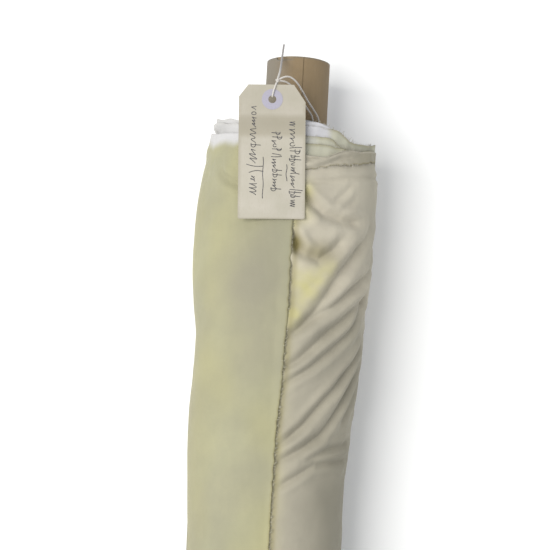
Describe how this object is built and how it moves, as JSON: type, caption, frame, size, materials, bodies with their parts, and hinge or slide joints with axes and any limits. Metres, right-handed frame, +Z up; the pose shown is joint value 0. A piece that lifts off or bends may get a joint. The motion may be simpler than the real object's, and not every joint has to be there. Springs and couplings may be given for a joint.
{
  "type": "fabric bolt",
  "caption": "Roll of pale yellow furnishing velvet on a cardboard tube, lying on its side, with a loose free end and a strung card tag.",
  "frame": {"origin": "on the surface the roll lies on, below the tube's axis, half way along the cloth's width", "axes": "+Z up, +Y along the tube towards the tagged end, +X to the right when the tagged end points away"},
  "size_m": [0.144, 1.4879, 0.1358],
  "materials": {
    "tube_board": "grey-brown laminated board",
    "tube_wrap": "smooth kraft paper",
    "masking_tape": "crepe",
    "velvet_rolled": "short cut pile",
    "velvet_turn": "short cut pile, creased",
    "velvet_flap": "short cut pile, smooth",
    "selvedge": "plain woven edge without pile",
    "loose_thread": "frayed yarn",
    "tag_card": "matte manila card",
    "tag_ring": "smooth gummed paper",
    "pen_line": "dry ballpoint line",
    "string": "twisted cotton"
  },
  "bodies": {
    "roll": {"core_tube": "tube_board", "core_outer_ply": "tube_wrap", "core_start_tape": "masking_tape", "velvet_windings": "velvet_rolled", "velvet_outer_turn": "velvet_turn", "velvet_free_end_pinned": "velvet_flap", "tag_string_lead_long": "string", "tag_string_lead_short": "string", "tag_string_tail": "string"},
    "free_end": {"velvet_free_end": "velvet_flap"},
    "string_knot": {"tag_string_knot": "string"},
    "tag": {"tag_card": "tag_card", "tag_ring_front": "tag_ring", "tag_ring_back": "tag_ring", "tag_string_loop": "string"}
  },
  "joints": [
    {"name": "free_end_lift", "type": "hinge", "parent": "roll", "child": "free_end", "pos_m": [-0.077, 0, 0.064], "axis": [0, -1, 0], "range_deg": [0, 75]},
    {"name": "tag_swing", "type": "hinge", "parent": "roll", "child": "string_knot", "pos_m": [-0.0167, 0.7079, 0.1316], "axis": [0, 0, 1], "range_deg": [-30, 30]},
    {"name": "tag_lift", "type": "hinge", "parent": "string_knot", "child": "tag", "pos_m": [-0.0167, 0.7079, 0.1316], "axis": [-1, 0, 0], "range_deg": [0, 150]}
  ]
}
